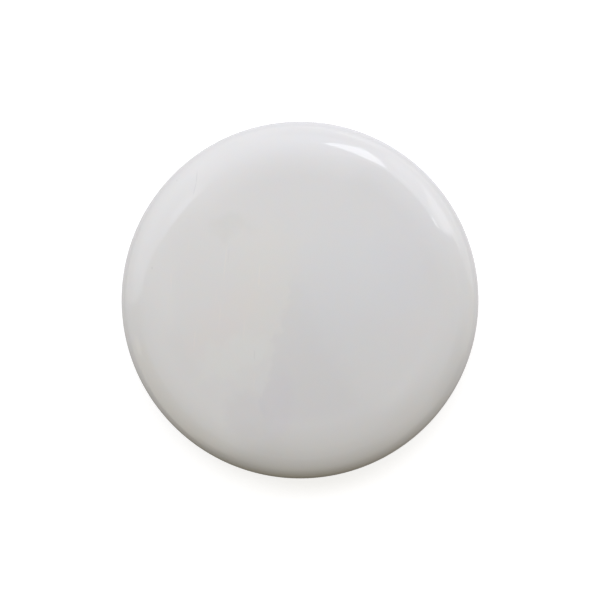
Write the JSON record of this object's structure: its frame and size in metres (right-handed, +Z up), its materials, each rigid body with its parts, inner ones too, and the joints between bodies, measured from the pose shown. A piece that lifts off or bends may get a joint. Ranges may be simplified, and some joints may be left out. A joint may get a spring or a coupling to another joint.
{
  "type": "dealer button",
  "caption": "Round white weighted puck with rounded shoulders and two blank faces, passed round a card table to mark the dealer.",
  "frame": {"origin": "centre of the lower resting face", "axes": "+Z up through the upper face, along the button's axis of rotation; +X towards one of the inner locating pins"},
  "size_m": [0.0508, 0.0508, 0.0076],
  "materials": {
    "shell_plastic": "off-white, polished mould, high gloss, with fine handling scratches and uneven toning",
    "bond_adhesive": "cured clear-amber adhesive, slightly glossy",
    "ballast_steel": "zinc-plated punched steel, satin",
    "pad_foam": "matt closed-cell foam"
  },
  "bodies": {
    "root": {"lower_shell": "shell_plastic", "upper_shell": "shell_plastic", "seam_bond_ring": "bond_adhesive", "ballast_disc": "ballast_steel", "lower_damping_pad": "pad_foam", "upper_damping_pad": "pad_foam"}
  },
  "joints": []
}
